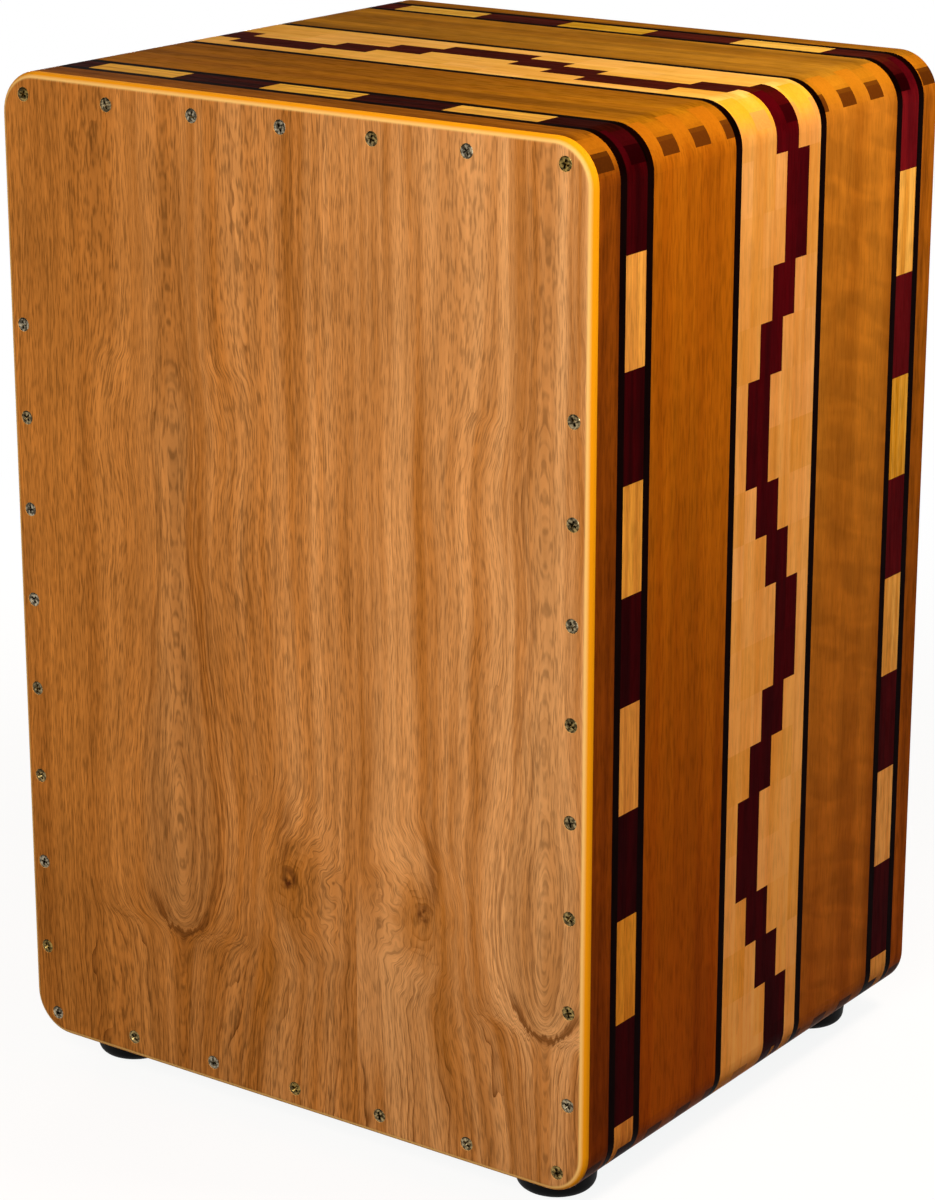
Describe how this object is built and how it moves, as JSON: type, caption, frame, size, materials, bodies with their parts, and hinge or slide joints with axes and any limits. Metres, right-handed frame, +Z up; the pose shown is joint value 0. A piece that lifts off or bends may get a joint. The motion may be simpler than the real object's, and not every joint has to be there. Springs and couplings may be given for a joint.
{
  "type": "cajon",
  "caption": "Box drum of laminated hardwood strips with a stepped inlay, finger-jointed corners, a screwed front striking plate, a rear sound hole and rubber feet.",
  "frame": {"origin": "on the ground, under the middle of the box", "axes": "+X to the right of someone who faces the front plate, +Y from the front plate to the back, +Z up"},
  "size_m": [0.322, 0.288, 0.484],
  "materials": {
    "front_plate_plywood": "satin lacquer over brown veneer, amber rounded rim",
    "back_plate_plywood": "satin lacquer",
    "brown_cedar": "gloss lacquer",
    "maple": "gloss lacquer",
    "purpleheart": "gloss lacquer",
    "black_dyed_hardwood": "gloss lacquer",
    "zinc_plated_steel": "bright zinc plating",
    "black_rubber": "matte"
  },
  "bodies": {
    "root": {"back_plate": "back_plate_plywood", "bottom_front_checker_dark_blocks": "purpleheart", "bottom_front_checker_light_blocks": "maple", "bottom_front_field": "brown_cedar", "bottom_front_rail": "brown_cedar", "bottom_rear_checker_dark_blocks": "purpleheart", "bottom_rear_checker_light_blocks": "maple", "bottom_rear_field": "brown_cedar", "bottom_rear_rail": "brown_cedar", "bottom_stringers": "black_dyed_hardwood", "bottom_zigzag_dark_blocks": "purpleheart", "bottom_zigzag_light_blocks": "maple", "foot_front_left": "black_rubber", "foot_front_right": "black_rubber", "foot_rear_left": "black_rubber", "foot_rear_right": "black_rubber", "foot_screws": "zinc_plated_steel", "foot_washers": "zinc_plated_steel", "front_plate": "front_plate_plywood", "front_plate_screws": "zinc_plated_steel", "left_side_front_checker_dark_blocks": "purpleheart", "left_side_front_checker_light_blocks": "maple", "left_side_front_field": "brown_cedar", "left_side_front_rail": "brown_cedar", "left_side_rear_checker_dark_blocks": "purpleheart", "left_side_rear_checker_light_blocks": "maple", "left_side_rear_field": "brown_cedar", "left_side_rear_rail": "brown_cedar", "left_side_stringers": "black_dyed_hardwood", "left_side_zigzag_dark_blocks": "purpleheart", "left_side_zigzag_light_blocks": "maple", "right_side_front_checker_dark_blocks": "purpleheart", "right_side_front_checker_light_blocks": "maple", "right_side_front_field": "brown_cedar", "right_side_front_rail": "brown_cedar", "right_side_rear_checker_dark_blocks": "purpleheart", "right_side_rear_checker_light_blocks": "maple", "right_side_rear_field": "brown_cedar", "right_side_rear_rail": "brown_cedar", "right_side_stringers": "black_dyed_hardwood", "right_side_zigzag_dark_blocks": "purpleheart", "right_side_zigzag_light_blocks": "maple", "top_front_checker_dark_blocks": "purpleheart", "top_front_checker_light_blocks": "maple", "top_front_field": "brown_cedar", "top_front_rail": "brown_cedar", "top_rear_checker_dark_blocks": "purpleheart", "top_rear_checker_light_blocks": "maple", "top_rear_field": "brown_cedar", "top_rear_rail": "brown_cedar", "top_stringers": "black_dyed_hardwood", "top_zigzag_dark_blocks": "purpleheart", "top_zigzag_light_blocks": "maple"}
  },
  "joints": []
}
